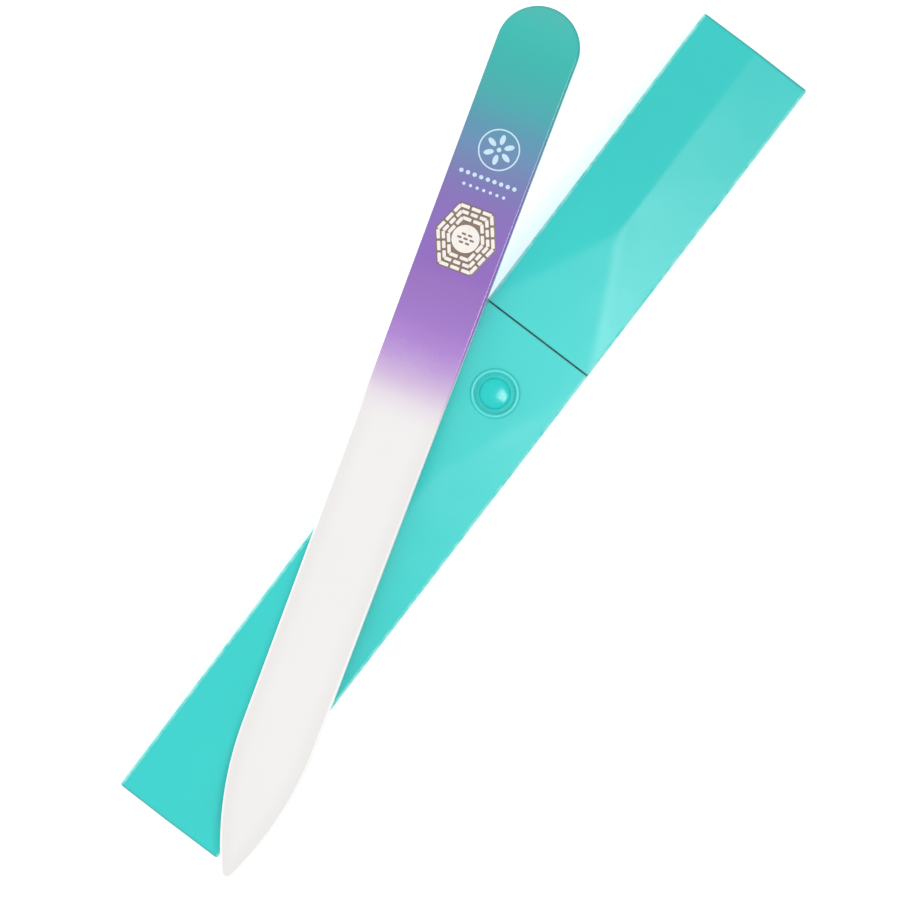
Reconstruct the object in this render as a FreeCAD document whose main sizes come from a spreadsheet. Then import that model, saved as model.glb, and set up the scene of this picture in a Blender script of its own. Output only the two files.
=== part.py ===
import FreeCAD, Part

import math
import os

import Sketcher

# A glass nail file with a pointed cuticle end, lying across its closed hard case.
# Frame: origin on the case's flat underside, half way along it; +Y runs along the case
# towards the cap's closed end, +Z up. Lengths are in millimetres, angles in degrees.

driving_sizes = [
    ("file_length", 135.0, "glass file, handle end to tip"),
    ("handle_width", 12.3, "glass across the handle"),
    ("nose_width", 11.3, "glass where the nose starts to narrow"),
    ("file_thickness", 2.0, "glass plate"),
    ("nose_radius", 51.0, "each side of the pointed nose"),
    ("tip_radius", 0.9, "the tip itself"),
    ("glass_edge_round", 0.4, "ground edge all round the glass"),
    ("coat_length", 67.0, "sprayed colour, from the handle end"),
    ("coat_margin", 0.45, "bare glass left round the colour"),
    ("coat_thickness", 0.06, "sprayed colour"),
    ("rosette_setback", 22.0, "printed rosette's centre from the handle end"),
    ("rosette_radius", 3.1, "outside of the rosette's ring"),
    ("ring_width", 0.32, "printed ring line"),
    ("petal_spread", 1.45, "petal centres from the rosette's centre"),
    ("petal_radius", 0.55, "each printed petal"),
    ("dot_row_setback", 26.6, "first row of dots from the handle end"),
    ("dot_row_pitch", 1.7, "from one row of dots to the next"),
    ("dot_pitch", 1.0, "dot to dot along a row"),
    ("dot_radius", 0.3, "each printed dot"),
    ("ink_thickness", 0.03, "printed ink"),
    ("seal_setback", 35.8, "foil seal's centre from the handle end"),
    ("seal_length", 9.9, "foil seal along the file"),
    ("seal_width", 9.6, "foil seal across the file, corner to corner"),
    ("seal_flat", 5.4, "foil seal's straight ends"),
    ("seal_thickness", 0.05, "foil seal"),
    ("length_clearance", 2.45, "file to the case's inside, end to end"),
    ("side_clearance", 0.65, "file to the case's inside, each side"),
    ("height_clearance", 2.4, "case's inside above the file's thickness"),
    ("end_wall", 2.0, "case's closed ends"),
    ("bottom_side_wall", 2.1, "case's side at its bottom end"),
    ("cap_side_wall", 2.6, "case's side at the cap's closed end"),
    ("roof", 2.4, "case above the neck, under the flat diamond facet"),
    ("cap_length", 52.65, "cap, from its closed end to the parting line"),
    ("parting_gap", 0.2, "cap to body"),
    ("cap_apex", 32.6, "diamond facet's upper point from the cap's closed end"),
    ("cap_corner", 51.3, "diamond facet's upper corners from the cap's closed end"),
    ("body_corner", 58.3, "diamond facet's lower corners from the cap's closed end"),
    ("body_apex", 79.3, "diamond facet's lower point from the cap's closed end"),
    ("cap_ridge_drop", 1.6, "ridge's fall from the upper point to the cap's end"),
    ("body_ridge_drop", 2.0, "ridge's fall from the lower point to the bottom end"),
    ("case_edge_round", 0.45, "case's outer edges"),
    ("neck_floor", 1.2, "case below the neck"),
    ("neck_wall", 0.8, "neck sleeve"),
    ("neck_corner", 0.9, "neck sleeve's outer corners"),
    ("neck_length", 14.0, "neck standing out of the body"),
    ("neck_seat", 14.0, "neck pressed into the body"),
    ("neck_clearance", 0.15, "neck to the cap, each side"),
    ("neck_end_clearance", 0.5, "neck's end to the step inside the cap"),
    ("rib_setback", 3.0, "grip rib from the parting line"),
    ("rib_span", 8.0, "grip rib across the neck"),
    ("rib_breadth", 1.2, "grip rib along the neck"),
    ("rib_height", 0.1, "grip rib, less than the neck's clearance"),
    ("recess_setback", 10.2, "round recess's centre from the parting line"),
    ("recess_radius", 3.0, "round recess"),
    ("recess_depth", 0.8, "round recess"),
    ("rim_radius", 3.35, "raised rim's centre line"),
    ("rim_thickness", 0.32, "raised rim's round section, its radius"),
    ("dome_radius", 2.3, "dome in the recess"),
    ("dome_height", 0.35, "dome in the recess"),
    ("file_across", -7.78, "file's middle from the case's centre line"),
    ("file_along", -7.2, "file's middle from the case's middle"),
    ("file_lean", 16.67, "file's turn across the case"),
    ("rest_gap", 0.05, "file to the facet that it lies on"),
]

petal_count = 6
dots_in_row = (9, 7)

# Sizes that follow from the driving ones.
space_width = "(sizes.handle_width + 2 * sizes.side_clearance)"
space_height = "(sizes.file_thickness + sizes.height_clearance)"
neck_width = f"({space_width} + 2 * sizes.neck_wall)"
neck_height = f"({space_height} + 2 * sizes.neck_wall)"
space_middle = f"(sizes.neck_floor + {neck_height} / 2)"
case_height = f"(sizes.neck_floor + {neck_height} + sizes.roof)"
case_length = "(sizes.file_length + sizes.length_clearance + 2 * sizes.end_wall)"
cap_end = f"({case_length} / 2)"
bottom_end = f"(-{case_length} / 2)"
parting_line = f"({cap_end} - sizes.cap_length)"
handle_end = "(sizes.file_length / 2)"
handle_centre = f"({handle_end} - sizes.handle_width / 2)"
nose_offset = "(sizes.nose_radius - sizes.nose_width / 2)"
tip_offset = "(sizes.nose_radius - sizes.tip_radius)"
tip_centre = f"(-{handle_end} + sizes.tip_radius)"
nose_start = f"({tip_centre} + sqrt({tip_offset} ^ 2 - {nose_offset} ^ 2))"
tip_side_x = f"({nose_offset} * sizes.tip_radius / {tip_offset})"
tip_side_y = f"({nose_start} - sizes.nose_radius * ({nose_start} - {tip_centre}) / {tip_offset})"


def half_width(along):
    """Half the case's outer width at a place along it; the case narrows evenly."""
    bottom = f"({space_width} / 2 + sizes.bottom_side_wall)"
    widening = "(sizes.cap_side_wall - sizes.bottom_side_wall)"
    return f"({bottom} + {widening} * (({along}) - {bottom_end}) / {case_length})"


def glass_half_width(along):
    """Half the glass's width between the handle's round end and the nose."""
    share = f"(({along} - {nose_start}) / ({handle_centre} - {nose_start}))"
    return f"((sizes.nose_width + (sizes.handle_width - sizes.nose_width) * {share}) / 2)"


def write_sizes(doc):
    sheet = doc.addObject("Spreadsheet::Sheet", "sizes")
    for row, (alias, value, meaning) in enumerate(driving_sizes, start=1):
        sheet.set(f"A{row}", meaning)
        sheet.set(f"B{row}", str(value))
        sheet.setAlias(f"B{row}", alias)
    doc.recompute()
    return sheet


def number(owner, text):
    """The value of an expression, as a plain number."""
    value = owner.evalExpression(text)
    return float(getattr(value, "Value", value))


def new_body(doc, label):
    body = doc.addObject("PartDesign::Body", label)
    body.Label = label
    return body


def new_sketch(body, role, name, **offsets):
    """A sketch on one of the body's own planes; each offset is an expression."""
    sketch = body.newObject("Sketcher::SketchObject", name)
    plane = [feature for feature in body.Origin.OriginFeatures if feature.Role == role][0]
    sketch.AttachmentSupport = [(plane, "")]
    sketch.MapMode = "FlatFace"
    for key, text in offsets.items():
        place = "Rotation" if key in ("Yaw", "Roll") else "Base"
        sketch.setExpression(f"AttachmentOffset.{place}.{key}", text)
    return sketch


def bind(sketch, constraint, name, text):
    index = sketch.addConstraint(constraint)
    sketch.renameConstraint(index, name)
    sketch.setExpression(f"Constraints.{name}", text)


def convex_arc(start, end, radius):
    """The arc that bulges out of a loop drawn anticlockwise."""
    chord = end - start
    left = FreeCAD.Vector(-chord.y, chord.x, 0).normalize()
    rise = math.sqrt(max(radius ** 2 - (chord.Length / 2) ** 2, 0))
    centre = (start + end) / 2 + left * rise
    first = math.atan2(start.y - centre.y, start.x - centre.x)
    last = math.atan2(end.y - centre.y, end.x - centre.x)
    if last < first:
        last += 2 * math.pi
    return Part.ArcOfCircle(Part.Circle(centre, FreeCAD.Vector(0, 0, 1), radius), first, last)


def draw_loop(sketch, corners, radii=None):
    """A closed loop, anticlockwise, through corners given as pairs of expressions.
    radii holds, for each side, the radius of its arc, or None for a straight side."""
    count = len(corners)
    radii = radii or [None] * count
    points = [FreeCAD.Vector(number(sketch, x), number(sketch, y), 0) for x, y in corners]
    first = sketch.GeometryCount
    for side, radius in enumerate(radii):
        start, end = points[side], points[(side + 1) % count]
        if radius is None:
            sketch.addGeometry(Part.LineSegment(start, end))
        else:
            sketch.addGeometry(convex_arc(start, end, number(sketch, radius)))
    for side, (x, y) in enumerate(corners):
        this = first + side
        following = first + (side + 1) % count
        sketch.addConstraint(Sketcher.Constraint("Coincident", this, 2, following, 1))
        across = Sketcher.Constraint("DistanceX", -1, 1, this, 1, points[side].x)
        bind(sketch, across, f"x{this}", x)
        along = Sketcher.Constraint("DistanceY", -1, 1, this, 1, points[side].y)
        bind(sketch, along, f"y{this}", y)
        if radii[side] is not None:
            bend = Sketcher.Constraint("Radius", this, number(sketch, radii[side]))
            bind(sketch, bend, f"bend{this}", radii[side])


def draw_circle(sketch, x, y, radius):
    centre = FreeCAD.Vector(number(sketch, x), number(sketch, y), 0)
    this = sketch.addGeometry(
        Part.Circle(centre, FreeCAD.Vector(0, 0, 1), number(sketch, radius)))
    across = Sketcher.Constraint("DistanceX", -1, 1, this, 3, centre.x)
    bind(sketch, across, f"x{this}", x)
    along = Sketcher.Constraint("DistanceY", -1, 1, this, 3, centre.y)
    bind(sketch, along, f"y{this}", y)
    size = Sketcher.Constraint("Radius", this, number(sketch, radius))
    bind(sketch, size, f"radius{this}", radius)


def draw_rectangle(sketch, width, height, middle, corner=None):
    """A rectangle about x = 0, with rounded corners if a corner radius is given."""
    x = f"({width} / 2)"
    low = f"({middle} - {height} / 2)"
    high = f"({middle} + {height} / 2)"
    if corner is None:
        draw_loop(sketch, [(f"-{x}", low), (x, low), (x, high), (f"-{x}", high)])
        return
    near = f"({x} - {corner})"
    corners = [
        (f"-{near}", low), (near, low),
        (x, f"({low} + {corner})"), (x, f"({high} - {corner})"),
        (near, high), (f"-{near}", high),
        (f"-{x}", f"({high} - {corner})"), (f"-{x}", f"({low} + {corner})"),
    ]
    draw_loop(sketch, corners, [None, corner] * 4)


def pad(body, sketch, name, length, backwards=False):
    feature = body.newObject("PartDesign::Pad", name)
    feature.Profile = sketch
    feature.setExpression("Length", length)
    feature.Reversed = backwards
    return feature


def pocket(body, sketch, name, length, backwards=False):
    feature = body.newObject("PartDesign::Pocket", name)
    feature.Profile = sketch
    feature.setExpression("Length", length)
    feature.Reversed = backwards
    return feature


def round_edges(doc, body, name, radius, wanted):
    """Rounds each edge of the body whose middle passes the wanted test."""
    doc.recompute()
    base = body.Tip
    names = []
    for index, edge in enumerate(base.Shape.Edges, start=1):
        middle = edge.valueAt((edge.FirstParameter + edge.LastParameter) / 2)
        if wanted(edge, middle):
            names.append(f"Edge{index}")
    feature = body.newObject("PartDesign::Fillet", name)
    feature.Base = (base, names)
    feature.setExpression("Radius", radius)
    return feature


def facet_directions(apex, corner, end, drop):
    """Yaw of the right-hand facet's upper edge, and the facet's slope. The facet holds
    the diamond's apex, its corner at the case's side, and the low end of the ridge."""
    yaw = f"atan2({corner} - {apex}; {half_width(corner)})"
    slope = f"atan({drop} / (abs({end} - {apex}) * cos({yaw})))"
    return yaw, slope


def cut_facets(body, apex, corner, end, drop, outward):
    """Cuts the two facets that fall away from the diamond, one each side of the ridge.
    outward is 1 where the ridge runs towards +Y and -1 where it runs towards -Y."""
    yaw, slope = facet_directions(apex, corner, end, drop)
    tilt = f"({-outward} * {slope})"
    for name, turn in {"right_facet": yaw, "left_facet": f"(-{yaw})"}.items():
        sketch = new_sketch(body, "XY_Plane", name, y=apex, z=case_height, Yaw=turn, Roll=tilt)
        draw_rectangle(sketch, f"(2 * {case_length})", f"(2 * {case_length})", "0")
        pocket(body, sketch, f"{name}_cut", case_height, backwards=True)


def make_case_shell(doc, label, near_y, far_y, facets):
    """The closed outside of the cap or the body, before its cavities are cut."""
    body = new_body(doc, label)
    plan = new_sketch(body, "XY_Plane", "plan")
    near, far = half_width(near_y), half_width(far_y)
    draw_loop(plan, [(f"-{near}", near_y), (near, near_y), (far, far_y), (f"-{far}", far_y)])
    pad(body, plan, "block", case_height)
    cut_facets(body, *facets)
    joint_y = number(plan, near_y if facets[-1] == 1 else far_y)
    end_y = number(plan, facets[2])
    tolerance = 0.001

    def on_outside(edge, middle):
        on_side = abs(abs(middle.x) - number(plan, half_width(str(middle.y)))) < tolerance
        on_end = abs(middle.y - end_y) < tolerance
        on_joint = abs(middle.y - joint_y) < tolerance
        return (on_side or on_end) and not on_joint

    round_edges(doc, body, "outer_edges", "sizes.case_edge_round", on_outside)
    return body


def make_case_body(doc):
    far_y = f"({parting_line} - sizes.parting_gap / 2)"
    apex = f"({cap_end} - sizes.body_apex)"
    corner = f"({cap_end} - sizes.body_corner)"
    facets = (apex, corner, bottom_end, "sizes.body_ridge_drop", -1)
    body = make_case_shell(doc, "case_body", bottom_end, far_y, facets)

    space = new_sketch(body, "XZ_Plane", "file_space", z=f"(-{far_y})")
    draw_rectangle(space, space_width, space_height, space_middle)
    depth = f"({far_y} - {bottom_end} - sizes.end_wall)"
    pocket(body, space, "file_space_cut", depth, backwards=True)

    seat = new_sketch(body, "XZ_Plane", "neck_seat", z=f"(-{far_y})")
    draw_rectangle(seat, neck_width, neck_height, space_middle, "sizes.neck_corner")
    pocket(body, seat, "neck_seat_cut", "sizes.neck_seat", backwards=True)

    add_round_recess(body)
    return body


def add_round_recess(body):
    """A shallow round recess with a raised rim and a low dome, on the diamond facet."""
    centre_y = f"({parting_line} - sizes.recess_setback)"
    disc = new_sketch(body, "XY_Plane", "recess", z=case_height)
    draw_circle(disc, "0", centre_y, "sizes.recess_radius")
    pocket(body, disc, "recess_cut", "sizes.recess_depth")

    dome = body.newObject("PartDesign::AdditiveEllipsoid", "dome")
    dome.setExpression("Radius1", "sizes.dome_height")
    dome.setExpression("Radius2", "sizes.dome_radius")
    dome.setExpression("Radius3", "sizes.dome_radius")
    dome.Angle1 = 0

    rim = body.newObject("PartDesign::AdditiveTorus", "rim")
    rim.setExpression("Radius1", "sizes.rim_radius")
    rim.setExpression("Radius2", "sizes.rim_thickness")

    heights = {dome: f"({case_height} - sizes.recess_depth)", rim: case_height}
    plane = [feature for feature in body.Origin.OriginFeatures if feature.Role == "XY_Plane"][0]
    for feature, height in heights.items():
        feature.AttachmentSupport = [(plane, "")]
        feature.MapMode = "FlatFace"
        feature.setExpression("AttachmentOffset.Base.y", centre_y)
        feature.setExpression("AttachmentOffset.Base.z", height)


def make_case_cap(doc):
    near_y = f"({parting_line} + sizes.parting_gap / 2)"
    apex = f"({cap_end} - sizes.cap_apex)"
    corner = f"({cap_end} - sizes.cap_corner)"
    facets = (apex, corner, cap_end, "sizes.cap_ridge_drop", 1)
    body = make_case_shell(doc, "case_cap", near_y, cap_end, facets)

    space = new_sketch(body, "XZ_Plane", "file_space", z=f"(-{near_y})")
    draw_rectangle(space, space_width, space_height, space_middle)
    pocket(body, space, "file_space_cut", f"({cap_end} - {near_y} - sizes.end_wall)")

    bore = new_sketch(body, "XZ_Plane", "neck_bore", z=f"(-{near_y})")
    width = f"({neck_width} + 2 * sizes.neck_clearance)"
    height = f"({neck_height} + 2 * sizes.neck_clearance)"
    corner_radius = "(sizes.neck_corner + sizes.neck_clearance)"
    draw_rectangle(bore, width, height, space_middle, corner_radius)
    depth = "(sizes.neck_length + sizes.neck_end_clearance - sizes.parting_gap)"
    pocket(body, bore, "neck_bore_cut", depth)
    return body


def make_neck_sleeve(doc):
    """A flat tube pressed into the body; the cap slides over the half that stands out."""
    body = new_body(doc, "neck_sleeve")
    foot_y = f"({parting_line} - sizes.parting_gap / 2 - sizes.neck_seat)"
    whole = "(sizes.neck_seat + sizes.neck_length)"

    outside = new_sketch(body, "XZ_Plane", "outside", z=f"(-{foot_y})")
    draw_rectangle(outside, neck_width, neck_height, space_middle, "sizes.neck_corner")
    pad(body, outside, "tube", whole, backwards=True)

    rib_y = f"({parting_line} + sizes.rib_setback)"
    rib = new_sketch(body, "XY_Plane", "grip_ribs",
                     z=f"({space_middle} - {neck_height} / 2 - sizes.rib_height)")
    draw_rectangle(rib, "sizes.rib_span", "sizes.rib_breadth", rib_y)
    pad(body, rib, "ribs", f"({neck_height} + 2 * sizes.rib_height)")

    inside = new_sketch(body, "XZ_Plane", "inside", z=f"(-{foot_y})")
    draw_rectangle(inside, space_width, space_height, space_middle)
    pocket(body, inside, "bore", whole)
    return body


def make_glass_blank(doc):
    """The glass plate: a round handle end, a slight taper and a pointed nose."""
    body = new_body(doc, "glass_blank")
    plan = new_sketch(body, "XY_Plane", "plan")
    wide, narrow = "(sizes.handle_width / 2)", "(sizes.nose_width / 2)"
    corners = [
        ("0", f"(-{handle_end})"), (tip_side_x, tip_side_y), (narrow, nose_start),
        (wide, handle_centre), ("0", handle_end), (f"-{wide}", handle_centre),
        (f"-{narrow}", nose_start), (f"-{tip_side_x}", tip_side_y),
    ]
    radii = [
        "sizes.tip_radius", "sizes.nose_radius", None, wide,
        wide, None, "sizes.nose_radius", "sizes.tip_radius",
    ]
    draw_loop(plan, corners, radii)
    pad(body, plan, "plate", "sizes.file_thickness")
    thickness = number(plan, "sizes.file_thickness")
    tolerance = 0.001

    def on_a_face(edge, middle):
        return middle.z < tolerance or middle.z > thickness - tolerance

    round_edges(doc, body, "ground_edges", "sizes.glass_edge_round", on_a_face)
    return body


def make_handle_coat(doc):
    """The sprayed colour on the handle's upper face, inside the ground edge."""
    body = new_body(doc, "handle_coat")
    plan = new_sketch(body, "XY_Plane", "plan", z="sizes.file_thickness")
    end_y = f"({handle_end} - sizes.coat_length)"
    wide = "(sizes.handle_width / 2 - sizes.coat_margin)"
    narrow = f"({glass_half_width(end_y)} - sizes.coat_margin)"
    corners = [
        (f"-{narrow}", end_y), (narrow, end_y), (wide, handle_centre),
        ("0", f"({handle_end} - sizes.coat_margin)"), (f"-{wide}", handle_centre),
    ]
    draw_loop(plan, corners, [None, None, wide, wide, None])
    pad(body, plan, "coat", "sizes.coat_thickness")
    return body


def make_printed_ornament(doc):
    """A printed ring round a small rosette, over two rows of dots."""
    body = new_body(doc, "printed_ornament")
    body.AllowCompound = True
    sketch = new_sketch(body, "XY_Plane", "ink", z="(sizes.file_thickness + sizes.coat_thickness)")
    centre_y = f"({handle_end} - sizes.rosette_setback)"
    draw_circle(sketch, "0", centre_y, "sizes.rosette_radius")
    draw_circle(sketch, "0", centre_y, "(sizes.rosette_radius - sizes.ring_width)")
    draw_circle(sketch, "0", centre_y, "sizes.dot_radius")
    for petal in range(petal_count):
        angle = 360 / petal_count * petal
        x = f"(sizes.petal_spread * cos({angle}))"
        y = f"({centre_y} + sizes.petal_spread * sin({angle}))"
        draw_circle(sketch, x, y, "sizes.petal_radius")
    for row, count in enumerate(dots_in_row):
        y = f"({handle_end} - sizes.dot_row_setback - {row} * sizes.dot_row_pitch)"
        for dot in range(count):
            x = f"(sizes.dot_pitch * {dot - (count - 1) / 2})"
            draw_circle(sketch, x, y, "sizes.dot_radius")
    pad(body, sketch, "print", "sizes.ink_thickness")
    return body


def make_foil_seal(doc):
    """A six-sided foil sticker."""
    body = new_body(doc, "foil_seal")
    plan = new_sketch(body, "XY_Plane", "plan", z="(sizes.file_thickness + sizes.coat_thickness)")
    middle = f"({handle_end} - sizes.seal_setback)"
    low = f"({middle} - sizes.seal_length / 2)"
    high = f"({middle} + sizes.seal_length / 2)"
    flat, wide = "(sizes.seal_flat / 2)", "(sizes.seal_width / 2)"
    corners = [
        (f"-{flat}", low), (flat, low), (wide, middle),
        (flat, high), (f"-{flat}", high), (f"-{wide}", middle),
    ]
    draw_loop(plan, corners)
    pad(body, plan, "foil", "sizes.seal_thickness")
    return body


def lay_file(pieces):
    """Lays the file's pieces flat on the body's left-hand facet, turned across the case."""
    apex = f"({cap_end} - sizes.body_apex)"
    corner = f"({cap_end} - sizes.body_corner)"
    yaw, slope = facet_directions(apex, corner, bottom_end, "sizes.body_ridge_drop")
    from_edge = (f"(-sizes.file_across * sin({yaw})"
                 f" - (sizes.file_along - {apex}) * cos({yaw}))")
    height = f"({case_height} - tan({slope}) * {from_edge} + sizes.rest_gap / cos({slope}))"
    place = f"create(<<vector>>; sizes.file_across; sizes.file_along; {height})"
    tilt = f"create(<<rotation>>; -{yaw}; 0; {slope})"
    spin = f"create(<<rotation>>; sizes.file_lean * 1 deg + {yaw}; 0; 0)"
    for body in pieces:
        body.setExpression("Placement", f"create(<<placement>>; {place}; {tilt} * {spin})")


def check(doc, bodies):
    failed = [item.Name for item in doc.Objects
              if "Invalid" in item.State or "Error" in item.State]
    for body in bodies:
        shape = body.Shape
        if shape.isNull() or not shape.isValid() or not shape.Solids:
            failed.append(body.Label)
    if failed:
        raise RuntimeError(f"these did not build: {failed}")


def main():
    doc = FreeCAD.newDocument("glass_nail_file")
    write_sizes(doc)
    case = [make_case_body(doc), make_neck_sleeve(doc), make_case_cap(doc)]
    nail_file = [make_glass_blank(doc), make_handle_coat(doc),
                 make_printed_ornament(doc), make_foil_seal(doc)]
    lay_file(nail_file)
    doc.recompute()
    check(doc, case + nail_file)

    os.makedirs("parts", exist_ok=True)
    for body in case + nail_file:
        body.Shape.exportStep(f"parts/{body.Label}.step")
        box = body.Shape.BoundBox
        print(f"{body.Label}: {body.Shape.Volume:.2f} mm3, {len(body.Shape.Solids)} solids, "
              f"x {box.XMin:.2f} to {box.XMax:.2f}, y {box.YMin:.2f} to {box.YMax:.2f}, "
              f"z {box.ZMin:.2f} to {box.ZMax:.2f}")


main()
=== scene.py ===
import math

import bmesh
import bpy
import numpy as np
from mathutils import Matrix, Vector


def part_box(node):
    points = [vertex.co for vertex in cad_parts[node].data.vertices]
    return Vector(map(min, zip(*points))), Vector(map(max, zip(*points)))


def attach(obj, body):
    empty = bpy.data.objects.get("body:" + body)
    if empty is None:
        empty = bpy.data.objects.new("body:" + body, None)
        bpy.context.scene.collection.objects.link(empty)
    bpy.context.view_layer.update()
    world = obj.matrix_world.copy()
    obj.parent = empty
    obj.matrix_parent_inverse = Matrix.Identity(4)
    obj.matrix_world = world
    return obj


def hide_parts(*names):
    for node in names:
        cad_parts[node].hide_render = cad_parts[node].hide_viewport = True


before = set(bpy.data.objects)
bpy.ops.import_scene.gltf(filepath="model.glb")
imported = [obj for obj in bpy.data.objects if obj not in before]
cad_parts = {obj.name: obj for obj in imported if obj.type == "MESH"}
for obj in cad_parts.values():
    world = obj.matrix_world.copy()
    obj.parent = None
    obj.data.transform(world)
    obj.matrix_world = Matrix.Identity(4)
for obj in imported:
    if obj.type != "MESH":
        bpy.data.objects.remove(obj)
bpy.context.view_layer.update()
mm = 0.001
print("frame loaded")


# The file's own axes, read from its CAD plate: up = the mean normal of the flat top, along =
# from the tip to the handle end, across = along x up, origin half way along the underside.
def readFileAxes():
    sameFacing = 0.9999         # cosine between two normals of one flat face
    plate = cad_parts["glass_blank"].data
    points = np.empty(len(plate.vertices) * 3)
    plate.vertices.foreach_get("co", points)
    points = points.reshape(-1, 3)
    normals = np.array([face.normal[:] for face in plate.polygons])
    areas = np.array([face.area for face in plate.polygons])
    widest = normals[areas.argmax()]
    top = normals @ (widest * np.sign(widest[2])) > sameFacing
    up = (normals[top] * areas[top, None]).sum(axis=0)
    up /= np.linalg.norm(up)
    spread = points - points.mean(axis=0)
    reach = spread @ np.linalg.svd(spread, full_matrices=False)[2][0]
    ends = points[reach.argmax()], points[reach.argmin()]
    coatLow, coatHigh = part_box("handle_coat")
    coatMiddle = np.array((coatLow + coatHigh) / 2)
    handleEnd, tip = sorted(ends, key=lambda end: np.linalg.norm(end - coatMiddle))
    along = handleEnd - tip
    along -= up * (along @ up)
    length = np.linalg.norm(along)
    along /= length
    middle = (handleEnd + tip) / 2
    heights = (points - middle) @ up
    return {
        "across": np.cross(along, up), "along": along, "up": up,
        "origin": middle + up * heights.min(),
        "length": length, "thickness": heights.max() - heights.min(),
    }


fileAxes = readFileAxes()
halfLength, plateTop = fileAxes["length"] / 2, fileAxes["thickness"]


# Points in the frame = origin + x * across + y * along + z * up, with their place for the UV
# map (across and along, over the file's length) and their distance in from the outline.
def placed(x, y, z, inward):
    points = (fileAxes["origin"] + x[..., None] * fileAxes["across"]
              + y[..., None] * fileAxes["along"] + z[..., None] * fileAxes["up"])
    places = [x / fileAxes["length"], y / fileAxes["length"], inward + 0 * x]
    return np.concatenate([points, np.stack(places, axis=-1)], axis=-1)


# a place along the file, given from its handle end: half the length - distance
def fromHandle(distance):
    return halfLength - distance


meshing = {
    "mergeDistance": 1e-7,
    "sharpAngle": math.radians(50),     # faces that meet at more than this keep a sharp edge
}


# Grids of rows x columns x 6 made into one mesh. Each quad joins a point, the next row's, the
# next row's in the next column, and the next column's; a closed direction joins its ends.
def gridMesh(name, grids, closedRows=True, closedColumns=False):
    vertices, faces, offset = [], [], 0
    for grid in grids:
        rows, columns = grid.shape[:2]
        lastRow = rows if closedColumns else rows - 1
        lastColumn = columns if closedRows else columns - 1
        row, column = np.meshgrid(np.arange(lastRow), np.arange(lastColumn), indexing="ij")
        nextRow, nextColumn = (row + 1) % rows, (column + 1) % columns
        quads = np.stack([row * columns + column, nextRow * columns + column,
                          nextRow * columns + nextColumn, row * columns + nextColumn], axis=-1)
        faces.append(quads.reshape(-1, 4) + offset)
        vertices.append(grid.reshape(-1, 6))
        offset += rows * columns
    vertices, faces = np.concatenate(vertices), np.concatenate(faces)
    mesh = bpy.data.meshes.new(name)
    mesh.from_pydata(vertices[:, :3].tolist(), [], faces.tolist())
    uvLayer = mesh.uv_layers.new(name="UVMap")
    corners = np.empty(len(mesh.loops), dtype=np.int32)
    mesh.loops.foreach_get("vertex_index", corners)
    uvLayer.data.foreach_set("uv", vertices[corners, 3:5].astype(np.float32).ravel())
    inward = mesh.attributes.new("inward", "FLOAT", "POINT")
    inward.data.foreach_set("value", vertices[:, 5].astype(np.float32))
    cleaned = bmesh.new()
    cleaned.from_mesh(mesh)
    bmesh.ops.remove_doubles(cleaned, verts=cleaned.verts, dist=meshing["mergeDistance"])
    bmesh.ops.dissolve_degenerate(cleaned, edges=cleaned.edges, dist=meshing["mergeDistance"])
    cleaned.to_mesh(mesh)
    cleaned.free()
    mesh.shade_smooth()
    mesh.set_sharp_from_angle(angle=meshing["sharpAngle"])
    piece = bpy.data.objects.new(name, mesh)
    bpy.context.scene.collection.objects.link(piece)
    return piece


# A shape built of copies of one outline: point = (1 - share) * (outline - outward * inset)
# + share * base, at the ring's height. rings holds share, inset and height for each ring,
# and each of them may also differ from column to column.
def layered(outline, outward, base, rings):
    share, inset, height = rings
    x = (1 - share) * (outline[:, 0] - outward[:, 0] * inset) + share * base[:, 0]
    y = (1 - share) * (outline[:, 1] - outward[:, 1] * inset) + share * base[:, 1]
    inward = (outline[:, 0] - x) * outward[:, 0] + (outline[:, 1] - y) * outward[:, 1]
    return placed(x, y, height + 0 * x, inward)


# rings over a flat face: shares of the way in to the base line, at one inset and height
def flatRings(shares, inset, height):
    share = np.array(shares)[:, None]
    return share, inset + 0 * share, height + 0 * share


# rings round an edge: inset - radius * sin(angle), centre height + radius * cos(angle)
def roundRings(radius, inset, centreHeight, first, last, steps):
    angle = np.linspace(first, last, steps)[:, None]
    height = centreHeight + radius * np.cos(angle)
    return 0 * angle, inset - radius * np.sin(angle), height


# sets of rings, one after another, as one set with the same number of columns throughout
def stackRings(*parts):
    columns = max(np.shape(part[2])[1] for part in parts)
    return [np.concatenate([np.broadcast_to(part[key], (len(part[0]), columns)) for part in parts])
            for key in range(3)]


# the glass plate: long pointed nose, straight tapered sides, half-round handle end; the top
# shares are how far in to the middle line its rings lie
glass = {
    "handleWidth": 12.3 * mm,
    "noseWidth": 11.3 * mm,
    "noseRadius": 51 * mm,
    "tipRadius": 0.9 * mm,
    "edgeRound": 0.4 * mm,
    "tipSteps": 10, "noseSteps": 36, "sideSteps": 90, "endSteps": 32, "roundSteps": 7,
    "topShares": (1, 0.7, 0.4, 0.15, 0.04),
}


# points round an arc: centre + radius * (cos, sin), with the outward directions
def arc(centreX, centreY, radius, first, last, steps):
    angle = np.linspace(first, last, steps)
    outward = np.stack([np.cos(angle), np.sin(angle)], axis=1)
    return outward * radius + [centreX, centreY], outward


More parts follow.
